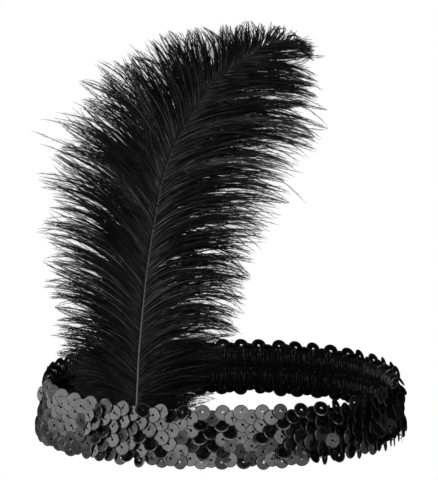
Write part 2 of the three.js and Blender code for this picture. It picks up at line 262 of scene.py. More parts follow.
def unit(vectors):
    return vectors / np.maximum(np.linalg.norm(vectors, axis=-1, keepdims=True), 1e-12)


def addPiece(name, points, faceSets, material, replaced=(), smooth=True, places=None,
             mapName="OFBake"):
    # points in millimetres; each face set holds one row of vertex numbers per face
    mesh = bpy.data.meshes.new(name)
    points = np.asarray(points, float).reshape(-1, 3) / 1000
    corners = np.concatenate([faces.ravel() for faces in faceSets]).astype(np.int32)
    sizes = np.concatenate([np.full(len(faces), faces.shape[1]) for faces in faceSets])
    starts = np.concatenate([[0], np.cumsum(sizes)[:-1]]).astype(np.int32)
    mesh.vertices.add(len(points))
    mesh.vertices.foreach_set("co", points.ravel())
    mesh.loops.add(len(corners))
    mesh.loops.foreach_set("vertex_index", corners)
    mesh.polygons.add(len(sizes))
    mesh.polygons.foreach_set("loop_start", starts)
    mesh.update(calc_edges=True)
    mesh.polygons.foreach_set("use_smooth", np.full(len(sizes), smooth))
    if places is not None:
        layer = mesh.uv_layers.new(name=mapName)
        layer.data.foreach_set("uv", np.asarray(places, float).reshape(-1, 2)[corners].ravel())
    mesh.materials.append(material)
    piece = bpy.data.objects.new(name, mesh)
    bpy.context.scene.collection.objects.link(piece)
    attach(piece, "root")
    if replaced:
        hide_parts(*replaced)
    print(name, "has", int((sizes - 2).sum()), "triangles")
    return piece


def gridFaces(rows, columns, roundRows=False, roundColumns=False):
    # quads between neighbours of a grid, which may close on itself either way
    i = np.arange(rows if roundRows else rows - 1)[:, None]
    j = np.arange(columns if roundColumns else columns - 1)[None, :]
    below, right = (i + 1) % rows, (j + 1) % columns
    faces = np.stack(np.broadcast_arrays(
        i * columns + j, i * columns + right, below * columns + right, below * columns + j), -1)
    return faces.reshape(-1, 4)


def strands(paths, thickWay, halfWidth, halfThick, sides):
    # closed tubes: at each step of a path an oval, halfThick along thickWay and halfWidth
    # across it, joined to the next one and capped at both ends
    count, steps = paths.shape[:2]
    ahead = unit(np.gradient(paths, axis=1))
    thick = unit(thickWay - ahead * (thickWay * ahead).sum(-1, keepdims=True))
    across = np.cross(thick, ahead)
    turn = 2 * math.pi * np.arange(sides) / sides
    ring = (across[:, :, None] * (halfWidth[:, :, None] * np.cos(turn))[..., None]
            + thick[:, :, None] * (halfThick[:, :, None] * np.sin(turn))[..., None])
    points = paths[:, :, None] + ring
    one = gridFaces(steps, sides, roundColumns=True)
    starts = (np.arange(count) * steps * sides)[:, None]
    walls = (starts[:, None] + one).reshape(-1, 4)
    first = starts + np.arange(sides)[::-1]
    last = starts + (steps - 1) * sides + np.arange(sides)
    return points.reshape(-1, 3), [walls, first, last]


def joined(parts):
    # several (points, face sets, map places) as one
    points, faceSets, places, start = [], [], [], 0
    for somePoints, someFaces, somePlaces in parts:
        points.append(somePoints.reshape(-1, 3))
        faceSets += [faces + start for faces in someFaces]
        places.append(somePlaces.reshape(-1, 2))
        start += len(points[-1])
    return np.concatenate(points), faceSets, np.concatenate(places)


# ---- finishes


def makeMottle():
    # a noise read at Place, where Fineness is how many grains go into a metre or a map,
    # picks between Dark and Light, and is the Height too
    group = bpy.data.node_groups.new("mottle", "ShaderNodeTree")
    for name, kind in (("Place", "Vector"), ("Fineness", "Float"), ("Dark", "Color"),
                       ("Light", "Color")):
        group.interface.new_socket(name=name, in_out="INPUT", socket_type="NodeSocket" + kind)
    for name, kind in (("Color", "Color"), ("Height", "Float")):
        group.interface.new_socket(name=name, in_out="OUTPUT", socket_type="NodeSocket" + kind)
    given = addNode(group, "NodeGroupInput")
    noise = addNode(group, "ShaderNodeTexNoise", {
        "Vector": given.outputs["Place"], "Scale": given.outputs["Fineness"],
        "Detail": 3.0, "Roughness": 0.6}).outputs["Fac"]
    height = fade(group, noise, (0.36, 0.64))
    colour = addNode(group, "ShaderNodeMix", {"Factor": height}, data_type="RGBA")
    group.links.new(given.outputs["Dark"], colour.inputs[6])
    group.links.new(given.outputs["Light"], colour.inputs[7])
    addNode(group, "NodeGroupOutput", {"Color": colour.outputs[2], "Height": height})
    return group


def grey(value, warm=0.0):
    return (value * (1 + warm), value, value * (1 - warm), 1.0)


def mottled(tree, place, fineness, dark, light):
    made = addNode(tree, "ShaderNodeGroup", node_tree=mottleGroup)
    tree.links.new(place, made.inputs["Place"])
    made.inputs["Fineness"].default_value = fineness
    made.inputs["Dark"].default_value = dark
    made.inputs["Light"].default_value = light
    return made.outputs["Color"], made.outputs["Height"]


def newMaterial(name, values):
    material = bpy.data.materials.new(name)
    material.use_nodes = True
    tree = material.node_tree
    shader = tree.nodes["Principled BSDF"]
    for socket, value in values.items():
        shader.inputs[socket].default_value = value
    return material, tree, shader


def bumped(tree, shader, height, strength, distance):
    inputs = {"Height": height, "Strength": strength, "Distance": distance}
    made = addNode(tree, "ShaderNodeBump", inputs)
    tree.links.new(made.outputs["Normal"], shader.inputs["Normal"])


def ownMap(tree, name):
    return addNode(tree, "ShaderNodeUVMap", uv_map=name).outputs["UV"]


def objectPlace(tree):
    return addNode(tree, "ShaderNodeTexCoord").outputs["Object"]


def sequinFinish():
    # black glossy film with faint smears and a slight waviness, with a painted highlight: a grey
    # ring just inside its rim, and the sloping rim paler still; the map's x is the distance from
    # the hole's axis, as a share of the sequin's radius
    material, tree, shader = newMaterial("sequinFilm", {"IOR": 2.2})
    place = objectPlace(tree)
    colour, smear = mottled(tree, place, 260.0, grey(0.0003), grey(0.002))
    # painted highlight: a lighter grey ring just inside the sloping rim
    rimHighlightColour, _ = mottled(tree, place, 700.0, grey(0.008), grey(0.034))
    outward = addNode(tree, "ShaderNodeSeparateXYZ", {0: ownMap(tree, "discMap")}).outputs["X"]
    rimHighlightMask = maths(tree, "MULTIPLY", fade(tree, outward, (0.74, 0.83)),
                    fade(tree, outward, (0.86, 0.9), (1.0, 0.0)))
    mixed = addNode(tree, "ShaderNodeMix", {0: rimHighlightMask, 6: colour, 7: rimHighlightColour}, data_type="RGBA")
    # painted highlight: the sloping rim paler, so sequins seen edge on show light slivers
    edgeHighlightColour, _ = mottled(tree, place, 500.0, grey(0.01), grey(0.07))
    edged = addNode(tree, "ShaderNodeMix", {0: fade(tree, outward, (0.91, 0.97)),
                                            6: mixed.outputs[2], 7: edgeHighlightColour}, data_type="RGBA")
    tree.links.new(edged.outputs[2], shader.inputs["Base Color"])
    rough = fade(tree, smear, (0.0, 1.0), (0.16, 0.26))
    tree.links.new(rough, shader.inputs["Roughness"])
    _, wave = mottled(tree, place, 420.0, grey(0), grey(1))
    bumped(tree, shader, wave, 0.25, 0.00006)
    return material


def elasticFinish():
    # black knit: ribs of loops side by side, each rib a wave along the loop of the band
    material, tree, shader = newMaterial("elasticKnit", {
        "Roughness": 0.6, "Specular IOR Level": 0.05})
    cloth = ownMap(tree, "clothMap")
    parts = addNode(tree, "ShaderNodeSeparateXYZ", {0: cloth})
    along, across = parts.outputs["X"], parts.outputs["Y"]
    waver = maths(tree, "SINE", maths(tree, "MULTIPLY", across, 2 * math.pi * 34))
    phase = maths(tree, "MULTIPLY_ADD", along, 2 * math.pi * 500,
                  maths(tree, "MULTIPLY", waver, 0.7))
    rib = maths(tree, "MULTIPLY_ADD", maths(tree, "SINE", phase), 0.5, 0.5)
    stitch = maths(tree, "MULTIPLY_ADD", waver, 0.2, 0.8)
    knit = maths(tree, "MULTIPLY", rib, stitch)
    fuzz, grain = mottled(tree, objectPlace(tree), 900.0, grey(0.002), grey(0.007))
    colour = addNode(tree, "ShaderNodeMix", {0: fade(tree, knit, (0.3, 1.0), (0.0, 0.8)),
                                             6: fuzz, 7: grey(0.016)}, data_type="RGBA")
    tree.links.new(colour.outputs[2], shader.inputs["Base Color"])
    height = maths(tree, "MULTIPLY_ADD", grain, 0.25, knit)
    bumped(tree, shader, height, 0.8, 0.00025)
    return material


def threadFinish(name, fineness, light):
    material, tree, shader = newMaterial(name, {"Roughness": 0.45})
    colour, twist = mottled(tree, objectPlace(tree), fineness, grey(0.001), light)
    tree.links.new(colour, shader.inputs["Base Color"])
    bumped(tree, shader, twist, 0.4, 0.0001)
    return material


def feltFinish():
    material, tree, shader = newMaterial("blackFelt", {
        "Roughness": 0.9, "Sheen Weight": 0.25, "Sheen Roughness": 0.5})
    colour, fibre = mottled(tree, objectPlace(tree), 1100.0, grey(0.004), grey(0.022))
    tree.links.new(colour, shader.inputs["Base Color"])
    bumped(tree, shader, fibre, 0.9, 0.0003)
    return material


def featherFinish():
    # the map's x runs along a barb, from the shaft to its tip, and its y tells the barbs
    # apart: those above 0.72 get grey streaks, a painted sheen and on the set behind partly
    # their lighter backs, less next to the shaft, at the foot of the plume and towards its top
    material, tree, shader = newMaterial("dyedBarbs", {
        "Roughness": 0.5, "Specular IOR Level": 0.12})
    place = ownMap(tree, "OFBake")
    bands = addNode(tree, "ShaderNodeVectorMath", {0: place, 1: (3.0, 60.0, 1.0)},
                    operation="MULTIPLY").outputs["Vector"]
    dark, _ = mottled(tree, bands, 1.0, grey(0.002), grey(0.016))
    pale, streak = mottled(tree, bands, 1.0, grey(0.045, -0.02), grey(0.15, -0.02))
    parts = addNode(tree, "ShaderNodeSeparateXYZ", {0: place})
    height = addNode(tree, "ShaderNodeSeparateXYZ", {0: objectPlace(tree)}).outputs["Z"]
    # painted sheen: grey streaks on the barbs whose map y is above 0.72
    paintedSheen = maths(tree, "MULTIPLY", fade(tree, parts.outputs["Y"], (0.70, 0.74)),
                   fade(tree, parts.outputs["X"], (0.1, 0.45), (0.45, 1.0)))
    paintedSheen = maths(tree, "MULTIPLY", paintedSheen,
                   maths(tree, "MULTIPLY_ADD", streak, 0.7, 0.5))
    paintedSheen = maths(tree, "MULTIPLY", paintedSheen, fade(tree, height, (0.115, 0.155), (1.0, 0.4)))
    paintedSheen = maths(tree, "MULTIPLY", paintedSheen, fade(tree, height, (0.03, 0.06), (0.35, 1.0)))
    mixed = addNode(tree, "ShaderNodeMix", {0: paintedSheen, 6: dark, 7: pale}, data_type="RGBA")
    tree.links.new(mixed.outputs[2], shader.inputs["Base Color"])
    return material


def shaftFinish():
    # dark horn with a painted highlight, a grey stripe down its front left that fades out up the
    # shaft; the map's x runs up the shaft and its y round it
    material, tree, shader = newMaterial("dyedHorn", {"Roughness": 0.38})
    place = ownMap(tree, "OFBake")
    stretched = addNode(tree, "ShaderNodeVectorMath", {0: place, 1: (9.0, 40.0, 1.0)},
                        operation="MULTIPLY").outputs["Vector"]
    colour, streak = mottled(tree, stretched, 1.0, grey(0.07, -0.03), grey(0.12, -0.03))
    parts = addNode(tree, "ShaderNodeSeparateXYZ", {0: place})
    # painted highlight: grey only near map y 0.68, on the front left, and low on the shaft
    offHighlight = maths(tree, "ABSOLUTE", maths(tree, "SUBTRACT", parts.outputs["Y"], 0.68))
    dull = fade(tree, offHighlight, (0.05, 0.12))
    upper = maths(tree, "MAXIMUM", fade(tree, parts.outputs["X"], (0.45, 0.85), (0.0, 0.9)),
                  maths(tree, "MULTIPLY", dull, 0.85))
    mixed = addNode(tree, "ShaderNodeMix", {0: upper, 6: colour, 7: grey(0.014, 0.1)},
                    data_type="RGBA")
    tree.links.new(mixed.outputs[2], shader.inputs["Base Color"])
    bumped(tree, shader, streak, 0.3, 0.0001)
    return material


mottleGroup = makeMottle()
sequinFilm = sequinFinish()
elasticKnit = elasticFinish()
polyThread = threadFinish("polyThread", 1500.0, grey(0.03))
dullThread = threadFinish("dullThread", 480.0, grey(0.11))
blackFelt = feltFinish()
dyedBarbs = featherFinish()
dyedHorn = shaftFinish()
print("finishes ready")

# ---- sequins

sequins = {
    "rows": 9,
    "perRow": 52,
    "footStep": 1.3,  # how far the second row lies above the first
    "topStep": 1.9,  # and the top row above the last but one
    "topHeight": 22.39,  # of the middles of the top row
    "radius": 3.1,
    "flatRadius": 2.8,  # from here the rim slopes back
    "holeRadius": 0.52,
    "thickness": 0.16,
    "sides": 16,
    "outFrom": 0.5,  # of the lowest lying sequins, and of the highest
    "outTo": 0.75,
    "outRise": 0.4,  # how much farther out the top row lies than the bottom one
    "sunk": 1.0,  # how deep the edge of a turned sequin may press into the elastic
    "slip": 0.8,  # how far one may lie from its even place along the row
    "rise": 0.35,
    "pitchFoot": -3.0,  # degrees that a sequin faces up, in the bottom row and the top row
    "pitchTop": 3.5,
    "pitchSpread": 2.0,
    "boundarySlant": 1.4,  # how the pattern of turns shifts along the loop below the top row
    "boundaryShift": 9.0,
    "flares": 0.16,  # the share of sequins that stand away by chance, right of flareFrom
    "flareFrom": -38.0,
    "flareUp": (14, 30),
    "flareSide": 14.0,
    "turnedBack": 0.04,  # the share of those on the right front that still face forward
    "backStretch": (30, 62),  # where along the loop those are, and the degrees they turn
    "backTurn": (-26, -12),
    "edgeEase": 0.45,  # how much less the rows near the edges are turned, and where
    "edgeStretch": (25, 90),
    "patchHeight": 1.2,  # how much faster a ruffled patch fades up the band than along it
    "patchHold": 1.6,  # above 1 its middle is ruffled evenly
    "patchSpread": (0.5, 1.3),
    "patchSide": (0.6, 0.8),  # the mean and the spread of the sideways turns, as shares
    "seed": 7,
}

# Which way the sequins were brushed: the place along the loop from the front, the degrees
# they are turned along it (to the right from above zero), and how much that varies
brushed = np.array([
    (-120, 0, 9), (-100, -5, 8), (-91, 8, 8), (-84, 22, 5), (-64, 22, 5), (-50.5, 16, 4),
    (-48.5, -12, 4), (-24, -12, 4), (-4, -9, 5), (4, 8, 5), (27, 12, 6), (33, 28, 14),
    (41, 38, 15), (52, 32, 15), (64, 22, 14), (78, 10, 15), (94, 0, 14), (110, 0, 9), (200, 0, 9),
])

# Where the band has been handled, sequins stand away: the middle along the loop from the
# front, its height, the patch's reach, and how far the sequins there face up and sideways
ruffled = [
    {"along": -50.0, "height": 12.5, "reach": 6.5, "up": 28, "side": 6},
    {"along": -45.0, "height": 5.0, "reach": 7.5, "up": 22, "side": 8},
    {"along": -34.0, "height": 4.0, "reach": 7.0, "up": 22, "side": -8},
    {"along": -32.5, "height": 13.5, "reach": 4.5, "up": 28, "side": 0},
    {"along": -5.0, "height": 17.5, "reach": 6.5, "up": 28, "side": 10},
    {"along": -8.0, "height": 7.5, "reach": 6.5, "up": 24, "side": -14},
    {"along": 19.0, "height": 14.5, "reach": 5.0, "up": 26, "side": 12},
    {"along": 28.5, "height": 19.5, "reach": 4.5, "up": 22, "side": 18},
    {"along": 23.0, "height": 4.0, "reach": 5.0, "up": 20, "side": 10},
]


def within(value, stretch):
    return (value > stretch[0]) & (value < stretch[1])


def sequinPlaces(look):
    # even rows, each half a step on from the one below, with small slips and tilts; a turned
    # sequin stands out by the sine of its turn, less what its edge may sink
    random = np.random.default_rng(look["seed"])
    shape = (look["rows"], look["perRow"])
    row = np.arange(look["rows"])[:, None] + np.zeros(shape)
    column = np.arange(look["perRow"])[None, :] + 0.5 * (row % 2)
    share = column / look["perRow"] + random.uniform(-1, 1, shape) * look["slip"] / loopLength
    inner = np.linspace(look["radius"] + look["footStep"],
                        look["topHeight"] - look["topStep"], look["rows"] - 2)
    levels = np.concatenate([[look["radius"]], inner, [look["topHeight"]]])
    height = levels[:, None] + np.zeros(shape)
    below = (row < look["rows"] - 1) * look["rise"]
    height = height + random.uniform(-1, 1, shape) * below + below * (row == 0)
    rank = row / (look["rows"] - 1)
    pitch = look["pitchFoot"] + (look["pitchTop"] - look["pitchFoot"]) * rank
    pitch = pitch + random.normal(0, look["pitchSpread"], shape)
    along = (np.mod(share + 0.5, 1) - 0.5) * loopLength
    shift = np.minimum((look["topHeight"] - height) * look["boundarySlant"], look["boundaryShift"])
    read = along + shift * (along < 0)
    yaw = np.interp(read, brushed[:, 0], brushed[:, 1])
    yaw += random.normal(0, 1, shape) * np.interp(read, brushed[:, 0], brushed[:, 2])
    nearEdge = (row <= 1) | (row == look["rows"] - 1)
    eased = nearEdge & within(along, look["edgeStretch"])
    yaw *= 1 - look["edgeEase"] * eased
    back = (random.random(shape) < look["turnedBack"]) & within(along, look["backStretch"])
    yaw = np.where(back, random.uniform(*look["backTurn"], shape), yaw)
    for patch in ruffled:
        up = (height - patch["height"]) * look["patchHeight"]
        far = np.hypot(along - patch["along"], up)
        hold = np.clip(look["patchHold"] - look["patchHold"] * far / patch["reach"], 0, 1)
        hold = hold * random.uniform(*look["patchSpread"], shape)
        pitch += hold * patch["up"]
        yaw += hold * patch["side"] * random.normal(*look["patchSide"], shape)
    loose = (random.random(shape) < look["flares"]) & (along > look["flareFrom"]) & ~back
    pitch += loose * random.uniform(*look["flareUp"], shape)
    yaw += loose * random.normal(0, look["flareSide"], shape)
    tilt = np.maximum(np.abs(np.sin(np.radians(yaw))), np.abs(np.sin(np.radians(pitch))))
    out = random.uniform(look["outFrom"], look["outTo"], shape) + look["outRise"] * rank
    out += np.maximum(0, look["radius"] * tilt - look["sunk"])
    spin = random.uniform(0, 2 * math.pi, shape)
    return (share.ravel(), height.ravel(), out.ravel(), np.radians(pitch).ravel(),
            np.radians(yaw).ravel(), spin.ravel())


def tiltedAxes(share, pitch, yaw):
    # the wall's axes, turned to face up by pitch and then along the row by yaw
    around, upward, outward = wallAxes(share)
    pitch, yaw = pitch[:, None], yaw[:, None]
    face = outward * np.cos(pitch) + upward * np.sin(pitch)
    upright = upward * np.cos(pitch) - outward * np.sin(pitch)
    across = around * np.cos(yaw) - face * np.sin(yaw)
    return across, upright, face * np.cos(yaw) + around * np.sin(yaw)


def makeSequins(look):
    # a flat ring: the profile's four corners are turned round the hole's axis
    share, height, out, pitch, yaw, spin = sequinPlaces(look)
    across, upright, face = tiltedAxes(share, pitch, yaw)
    half = look["thickness"] / 2
    radius = np.array([look["flatRadius"], look["holeRadius"], look["holeRadius"],
                       look["radius"]])
    level = np.array([half, half, -half, -half])
    turn = 2 * math.pi * np.arange(look["sides"]) / look["sides"] + spin[:, None]
    centre = onWall(share, height, out)
    points = (centre[:, None, None]
              + across[:, None, None] * (radius[:, None] * np.cos(turn)[:, None])[..., None]
              + upright[:, None, None] * (radius[:, None] * np.sin(turn)[:, None])[..., None]
              + face[:, None, None] * level[None, :, None, None])
    lowest = points[..., 2].min((1, 2))
    points[..., 2] += np.maximum(0.0, band["groundGap"] - lowest)[:, None, None]
    one = gridFaces(4, look["sides"], True, True)
    starts = np.arange(len(share)) * 4 * look["sides"]
    faces = (starts[:, None, None] + one).reshape(-1, 4)
    own = np.linspace(0, 1, len(share))[:, None, None]
    places = np.stack(np.broadcast_arrays((radius / look["radius"])[:, None], own,
                                          np.zeros(look["sides"]))[:2], -1)
    addPiece("sequin_discs", points, [faces], sequinFilm, ["sequin_field"],
             smooth=False, places=places, mapName="discMap")
    return share, height, out, pitch, yaw


holdingThread = {
    "radius": 0.15,
    "reach": 2.6,
    "lift": 0.2,  # off the sequin's middle, less dip at the hole and drop past the rim
    "drop": 0.9,
    "arch": 0.25,
    "dip": 0.5,
    "steps": 6,
    "ways": (-35, -35, 60, 145, 205),  # degrees from the way round that the thread may take
    "waySpread": 16.0,
    "seed": 11,
}


def makeHoldingThreads(look, share, height, out, pitch, yaw):
    # from each hole a short arc over the sequin's face and down past its rim: half a sine,
    # less the cube of the way along it and the sixth power of the way left
    random = np.random.default_rng(look["seed"])
    across, upright, face = tiltedAxes(share, pitch, yaw)
    way = random.choice(look["ways"], len(share))
    way = np.radians(way + random.normal(0, look["waySpread"], len(share)))[:, None]
    along = across * np.cos(way) + upright * np.sin(way)
    at = np.linspace(0, 1, look["steps"])[None, :, None]
    lift = look["lift"] - look["drop"] * at ** 3 + look["arch"] * np.sin(math.pi * at)
    lift = lift - look["dip"] * (1 - at) ** 6
    paths = (onWall(share, height, out)[:, None] + along[:, None] * at * look["reach"]
             + face[:, None] * lift)
    paths[..., 2] = np.maximum(paths[..., 2], look["radius"] + band["groundGap"])
    thin = np.full(paths.shape[:2], look["radius"])
    points, faces = strands(paths, face[:, None], thin, thin, 3)
    addPiece("sequin_threads", points, faces, polyThread)


edgeThread = {
    "radius": 0.19,
    "spread": 1.1,  # how far the two threads of a sequin part along the loop
    "uneven": (0.6, 1.4),
    "fromHole": 0.1,  # the share of the spread at the hole
    "over": 0.3,  # how far they stand off the elastic's edge
    "outShare": 0.3,  # how far out they cross it, as a share of the sequin's distance
    "turnIn": 0.4,  # how far down they meet the inner face
    "reach": 1.3,  # how far down the inner face they go
    "seed": 13,
}


def makeEdgeThreads(look, share, height, out):
    # from each hole of the top and bottom rows two threads go round the elastic's edge to
    # its inner face, through five places each, given as heights and distances out
    random = np.random.default_rng(look["seed"])
    middle = band["height"] / 2
    chosen = np.concatenate([np.flatnonzero(height > sequins["topHeight"] - 0.01),
                             np.flatnonzero(height < sequins["radius"] + 2 * sequins["rise"])])
    share, height, out = (np.repeat(part[chosen], 2) for part in (share, height, out))
    side = np.tile([-1.0, 1.0], len(chosen)) * random.uniform(*look["uneven"], len(share))
    way = np.sign(height - middle)
    edge = middle + way * elastic["height"] / 2
    beyond = edge + way * look["over"]
    level = np.stack([height, beyond, beyond, edge - way * look["turnIn"],
                      edge - way * look["reach"]], -1)
    inner = -elastic["thickness"] - look["over"]
    deepest = inner - elastic["ribRelief"] / 2
    flat = np.ones(len(out))
    apart = np.stack([out, look["outShare"] * out, flat * (inner / 2), flat * inner,
                      flat * deepest], -1)
    shift = side[:, None] * np.linspace(look["fromHole"], 1, 5) * look["spread"] / loopLength
    paths = onWall(share[:, None] + shift, level, apart)
    paths[..., 2] = np.maximum(paths[..., 2], look["radius"] + band["groundGap"])
    around, _, _ = wallAxes(share)
    thin = np.full(paths.shape[:2], look["radius"])
    points, faces = strands(paths, around[:, None], thin, thin, 4)
    addPiece("edge_threads", points, faces, dullThread)


# ---- elastic

elastic = {
    "height": 18.4,
    "thickness": 1.3,
    "ribHeight": 7.2,
    "ribRelief": 0.4,
    "ribGap": 1.8,
    "ribEase": 0.5,  # how far a rib's edge takes to rise
    "rim": 0.35,  # the height of its rounded edges, and their thickness as a share
    "rimShare": 0.35,
    "seamFromBack": 11.5,
    "seamLength": 9.5,
    "seamRise": 0.8,
    "seamDrop": 0.9,  # how far the lap ends below the top edge
    "seamEase": 0.3,
    "evenRows": 0.65,  # 1 spaces the rows of the mesh evenly, and less crowds the edges
    "columns": 520,
    "rows": 40,
}


def smoothStep(value, low, high):
    blend = np.clip((value - low) / (high - low), 0, 1)
    return blend * blend * (3 - 2 * blend)


def elasticInner(look, share, height):
    # how far in the inner face lies: the wall, two ribs with soft edges, and the seam's lap
    foot = (band["height"] - look["height"]) / 2
    middle = np.abs(height - band["height"] / 2)
    low, high = look["ribGap"] / 2, look["ribGap"] / 2 + look["ribHeight"]
    rib = smoothStep(middle, low, low + look["ribEase"]) - smoothStep(
        middle, high - look["ribEase"], high)
    depth = look["thickness"] + look["ribRelief"] * rib
    fromSeam = np.abs((np.mod(share - 0.5, 1) * loopLength) - look["seamFromBack"])
    half = look["seamLength"] / 2
    lap = 1 - smoothStep(fromSeam, half - look["seamEase"], half)
    top = foot + look["height"]
    below = 1 - smoothStep(height, top - look["seamDrop"], top - look["seamEase"])
    return -(depth + look["seamRise"] * lap * below)


def makeElastic(look):
    # a closed profile, up the outer face and down the inner one, carried round the loop
    foot = (band["height"] - look["height"]) / 2
    even = np.linspace(0, 1, look["rows"] // 2)
    rise = 0.5 - 0.5 * np.cos(math.pi * even)
    rise = (1 - look["evenRows"]) * rise + look["evenRows"] * even
    upward = foot + look["height"] * rise
    height = np.concatenate([upward, upward[::-1]])[None, :]
    inside = (np.arange(look["rows"]) >= look["rows"] // 2)[None, :]
    share = (np.arange(look["columns"]) / look["columns"])[:, None]
    edge = np.minimum(height - foot, foot + look["height"] - height)
    rounded = np.sqrt(np.clip(1 - (1 - np.clip(edge / look["rim"], 0, 1)) ** 2, 0, 1))
    inner = elasticInner(look, share, height)
    middle = -look["thickness"] / 2
    out = np.where(inside, inner, 0.0)
    out = middle + (out - middle) * (look["rimShare"] + (1 - look["rimShare"]) * rounded)
    points = onWall(share, height, out)
    across = (np.arange(look["rows"]) / look["rows"])[None, :]
    places = np.stack(np.broadcast_arrays(share, across), -1)
    faces = gridFaces(look["columns"], look["rows"], True, True)
    knit = addPiece("elastic_knit", points, [faces[:, ::-1]], elasticKnit,
                    ["elastic_band"], places=places, mapName="clothMap")


innerStitch = {
    "radius": 0.18,
    "steps": 5,
    "slant": 0.5,  # how far a stitch may lean along the loop
    "slip": 0.35,  # from its even place, as a share of the pitch
    "rise": 0.4,
    "lengths": (0.6, 1.15),
    "lift": 0.05,  # off the inner face at a stitch's ends, and how much more at its middle
    "arch": 0.22,
    "rows": [
        {"height": 18.3, "length": 4.4, "pitch": 1.15},
        {"height": 9.4, "length": 4.4, "pitch": 1.15},
        {"height": 13.4, "length": 0.8, "pitch": 1.7},
        {"height": 5.6, "length": 0.8, "pitch": 2.1},
    ],
    "seed": 5,
}


def makeInnerStitches(look):
    # upright loops of thread in rows, each a shallow arc standing off the inner face
    random = np.random.default_rng(look["seed"])
    share, middle, length = [], [], []
    for row in look["rows"]:
        count = int(loopLength / row["pitch"])
        slip = random.uniform(-look["slip"], look["slip"], count)
        share.append((np.arange(count) + slip) / count)
        middle.append(row["height"] + random.uniform(-look["rise"], look["rise"], count))
        length.append(row["length"] * random.uniform(*look["lengths"], count))
    share, middle, length = (np.concatenate(part) for part in (share, middle, length))
    at = np.linspace(-0.5, 0.5, look["steps"])
    height = middle[:, None] + at * length[:, None]
    slant = random.normal(0, look["slant"], len(share))[:, None] / loopLength
    along = share[:, None] + at * slant
    proud = look["lift"] + look["arch"] * np.cos(math.pi * at)
    paths = onWall(along, height, elasticInner(elastic, along, height) - proud)
    _, _, outward = wallAxes(share)
    thin = np.full(paths.shape[:2], look["radius"])
    points, faces = strands(paths, outward[:, None], thin, thin, 3)
    addPiece("elastic_stitches", points, faces, dullThread)


placed = makeSequins(sequins)
makeHoldingThreads(holdingThread, *placed)
makeEdgeThreads(edgeThread, *placed[:3])
makeElastic(elastic)
makeInnerStitches(innerStitch)

# ---- shaft

shaft = {
    "footHeight": 5.6,
    "footOut": -3.1,  # the quill's middle, inside the elastic
    "radius": 1.1,
    "tipRadius": 0.1,
    "rise": 139.7,
    "reach": 65.0,
    "setback": 9.4,
    "steps": 420,
    "sides": 14,
    "groove": 0.35,  # the depth of the groove down its back, as a share of the radius
    "footPoint": 60,  # it comes to a point over a 60th of its length, and at the tip a 90th
    "tipPoint": 90,
    "endSize": 0.05,  # how much of the radius is left at the very ends
}

# The shaft's line above the band, as shares of its reach, setback and rise
shaftTable = np.array([
    (0.006, 0.11, 0.055), (0.017, 0.28, 0.147), (0.054, 0.53, 0.322), (0.084, 0.66, 0.427),
    (0.124, 0.79, 0.532), (0.158, 0.87, 0.612), (0.239, 0.96, 0.717), (0.341, 1.0, 0.801),
    (0.429, 1.0, 0.865), (0.517, 0.98, 0.902), (0.631, 0.91, 0.946), (0.762, 0.81, 0.988),
    (0.878, 0.68, 1.0), (1.0, 0.47, 0.969),
])


def smoothPath(knots, steps):
    # a cubic through the knots whose slope at each is half the way between its neighbours,
    # walked in steps of even length
    ends = np.concatenate([[2 * knots[0] - knots[1]], knots, [2 * knots[-1] - knots[-2]]])
    at = np.linspace(0, len(knots) - 1, 4000)
    i = np.minimum(at.astype(int), len(knots) - 2)
    t = (at - i)[:, None]
    a, b, c, d = (ends[i + k] for k in range(4))
    fine = 0.5 * (2 * b + (c - a) * t + (2 * a - 5 * b + 4 * c - d) * t ** 2
                  + (3 * b - a - 3 * c + d) * t ** 3)
    lengths = np.concatenate([[0], np.cumsum(np.linalg.norm(np.diff(fine, axis=0), axis=-1))])
    even = np.linspace(0, lengths[-1], steps)
    return np.stack([np.interp(even, lengths, fine[:, k]) for k in range(3)], -1), lengths[-1]


def shaftPath(look):
    heights = np.array([look["footHeight"], 0, band["height"]])
    heights[1] = (heights[0] + heights[2]) / 2
    hidden = onWall(featherShare, heights, look["footOut"])
    size = np.array([look["reach"], look["setback"], look["rise"]])
    return smoothPath(np.concatenate([hidden, hidden[-1] + shaftTable * size]), look["steps"])


shaftLine, shaftLength = shaftPath(shaft)
shaftAhead = unit(np.gradient(shaftLine, axis=0))
shaftBack = unit(np.array([0, 1.0, 0]) - shaftAhead * shaftAhead[:, 1:2])
shaftLeft = np.cross(shaftAhead, shaftBack)
shaftShares = np.linspace(0, 1, shaft["steps"])
shaftRadii = shaft["tipRadius"] + (shaft["radius"] - shaft["tipRadius"]) * (1 - shaftShares)
exitShare = (band["height"] - shaft["footHeight"]) / shaftLength


def makeShaft(look):
    # a tapering round whose back is pressed in, closed to a point at the foot and the tip
    turn = 2 * math.pi * np.arange(look["sides"]) / look["sides"]
    pressed = 1 - look["groove"] * np.clip(np.sin(turn), 0, 1) ** 4
    ease = np.sqrt(np.clip(shaftShares * look["footPoint"], 0, 1)
                   * np.clip((1 - shaftShares) * look["tipPoint"], 0.02, 1))
    size = (shaftRadii * np.maximum(ease, look["endSize"]))[:, None, None]
    points = shaftLine[:, None] + size * (
        -shaftLeft[:, None] * np.cos(turn)[:, None]
        + shaftBack[:, None] * (np.sin(turn) * pressed)[:, None])
    walls = gridFaces(look["steps"], look["sides"], roundColumns=True)
    first = np.arange(look["sides"])[None, ::-1]
    last = ((look["steps"] - 1) * look["sides"] + np.arange(look["sides"]))[None, :]
    around = np.arange(look["sides"]) / look["sides"]
    places = np.stack(np.broadcast_arrays(shaftShares[:, None], around[None, :]), -1)
    addPiece("plume_rachis", points, [walls, first, last], dyedHorn,
             ["feather_shaft"], places=places)


makeShaft(shaft)

# ---- felt patch over the quill

patch = {
    "width": 17.0,
    "height": 13.5,
    "thickness": 1.2,
    "footMargin": 1.2,
    "gap": 0.3,
    "swellReach": 6.4,
    "corner": 5.0,  # the power of the outline: 2 is an oval, and more is squarer
    "rings": 18,
    "sides": 64,
}


